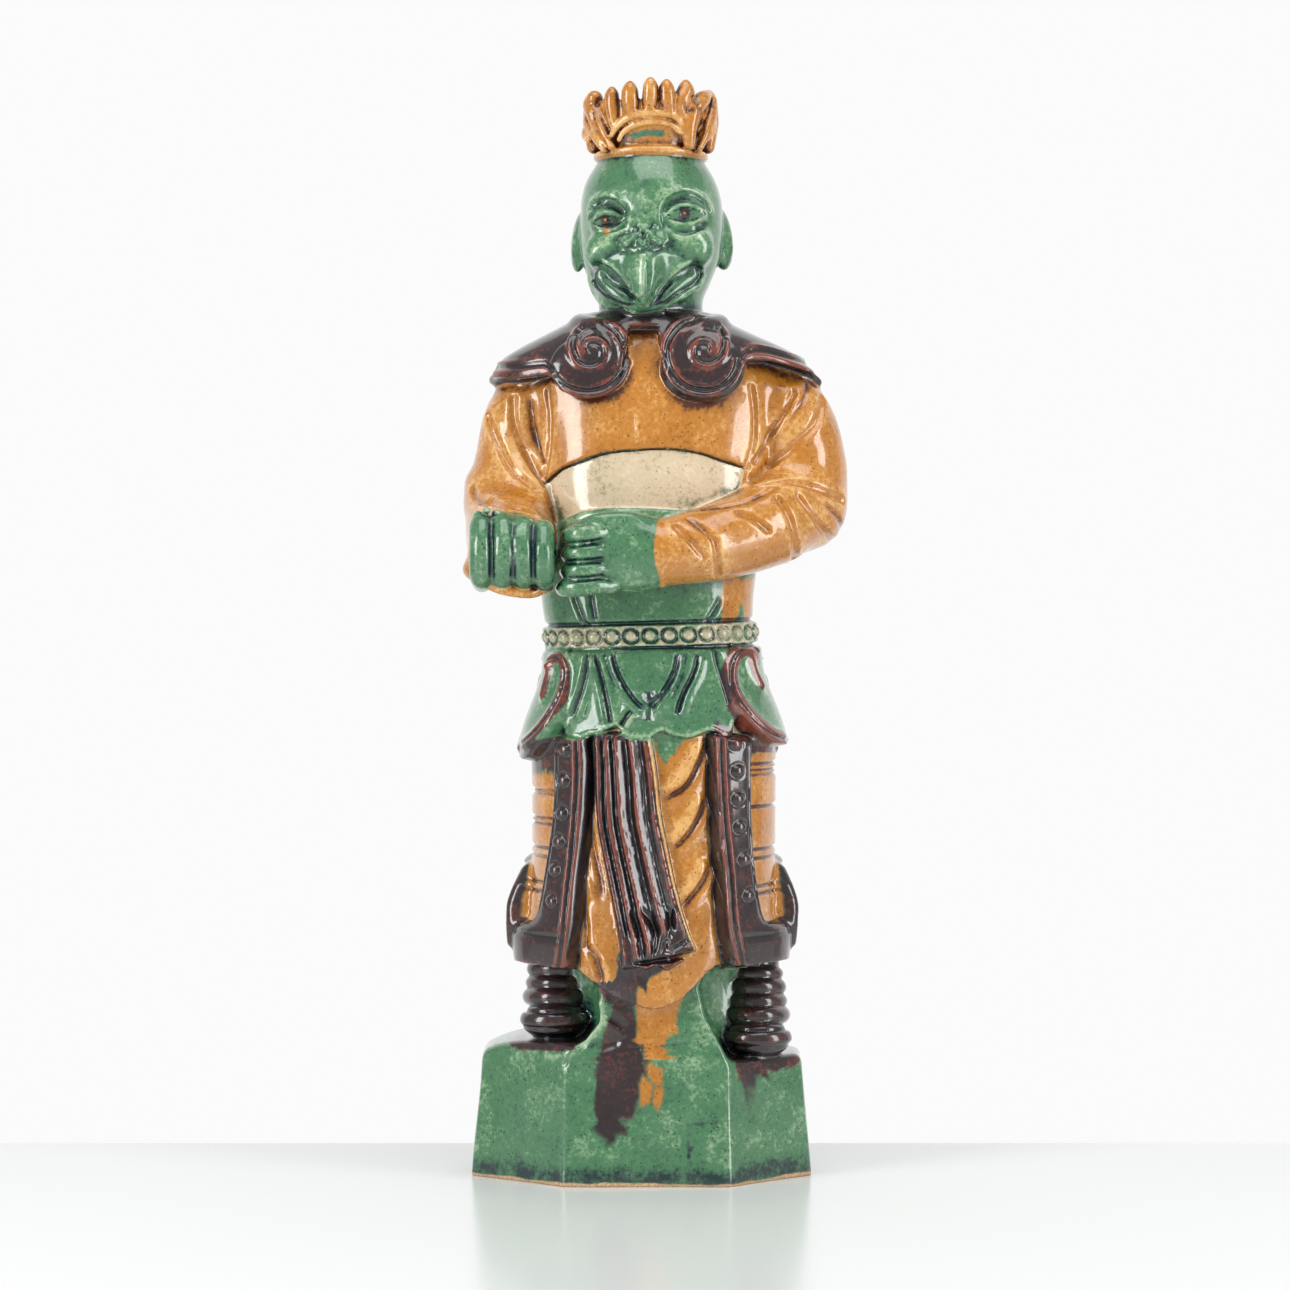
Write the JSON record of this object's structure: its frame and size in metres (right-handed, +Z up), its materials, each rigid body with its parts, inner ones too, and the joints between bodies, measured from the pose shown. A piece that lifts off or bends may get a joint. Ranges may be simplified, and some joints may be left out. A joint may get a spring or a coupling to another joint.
{
  "type": "deity figure",
  "caption": "Standing robed deity figure with a beaked face and a petal crown, hands held before the waist, on a faceted rock base of one piece with it.",
  "frame": {"origin": "middle of the base's underside, on the surface that the figure stands on", "axes": "+Z up, -Y towards the viewer whom the figure faces, +X to that viewer's right"},
  "size_m": [0.1901, 0.1463, 0.54],
  "materials": {
    "glazed_earthenware": "gloss"
  },
  "bodies": {
    "root": {"deity_figure": "glazed_earthenware"}
  },
  "joints": []
}
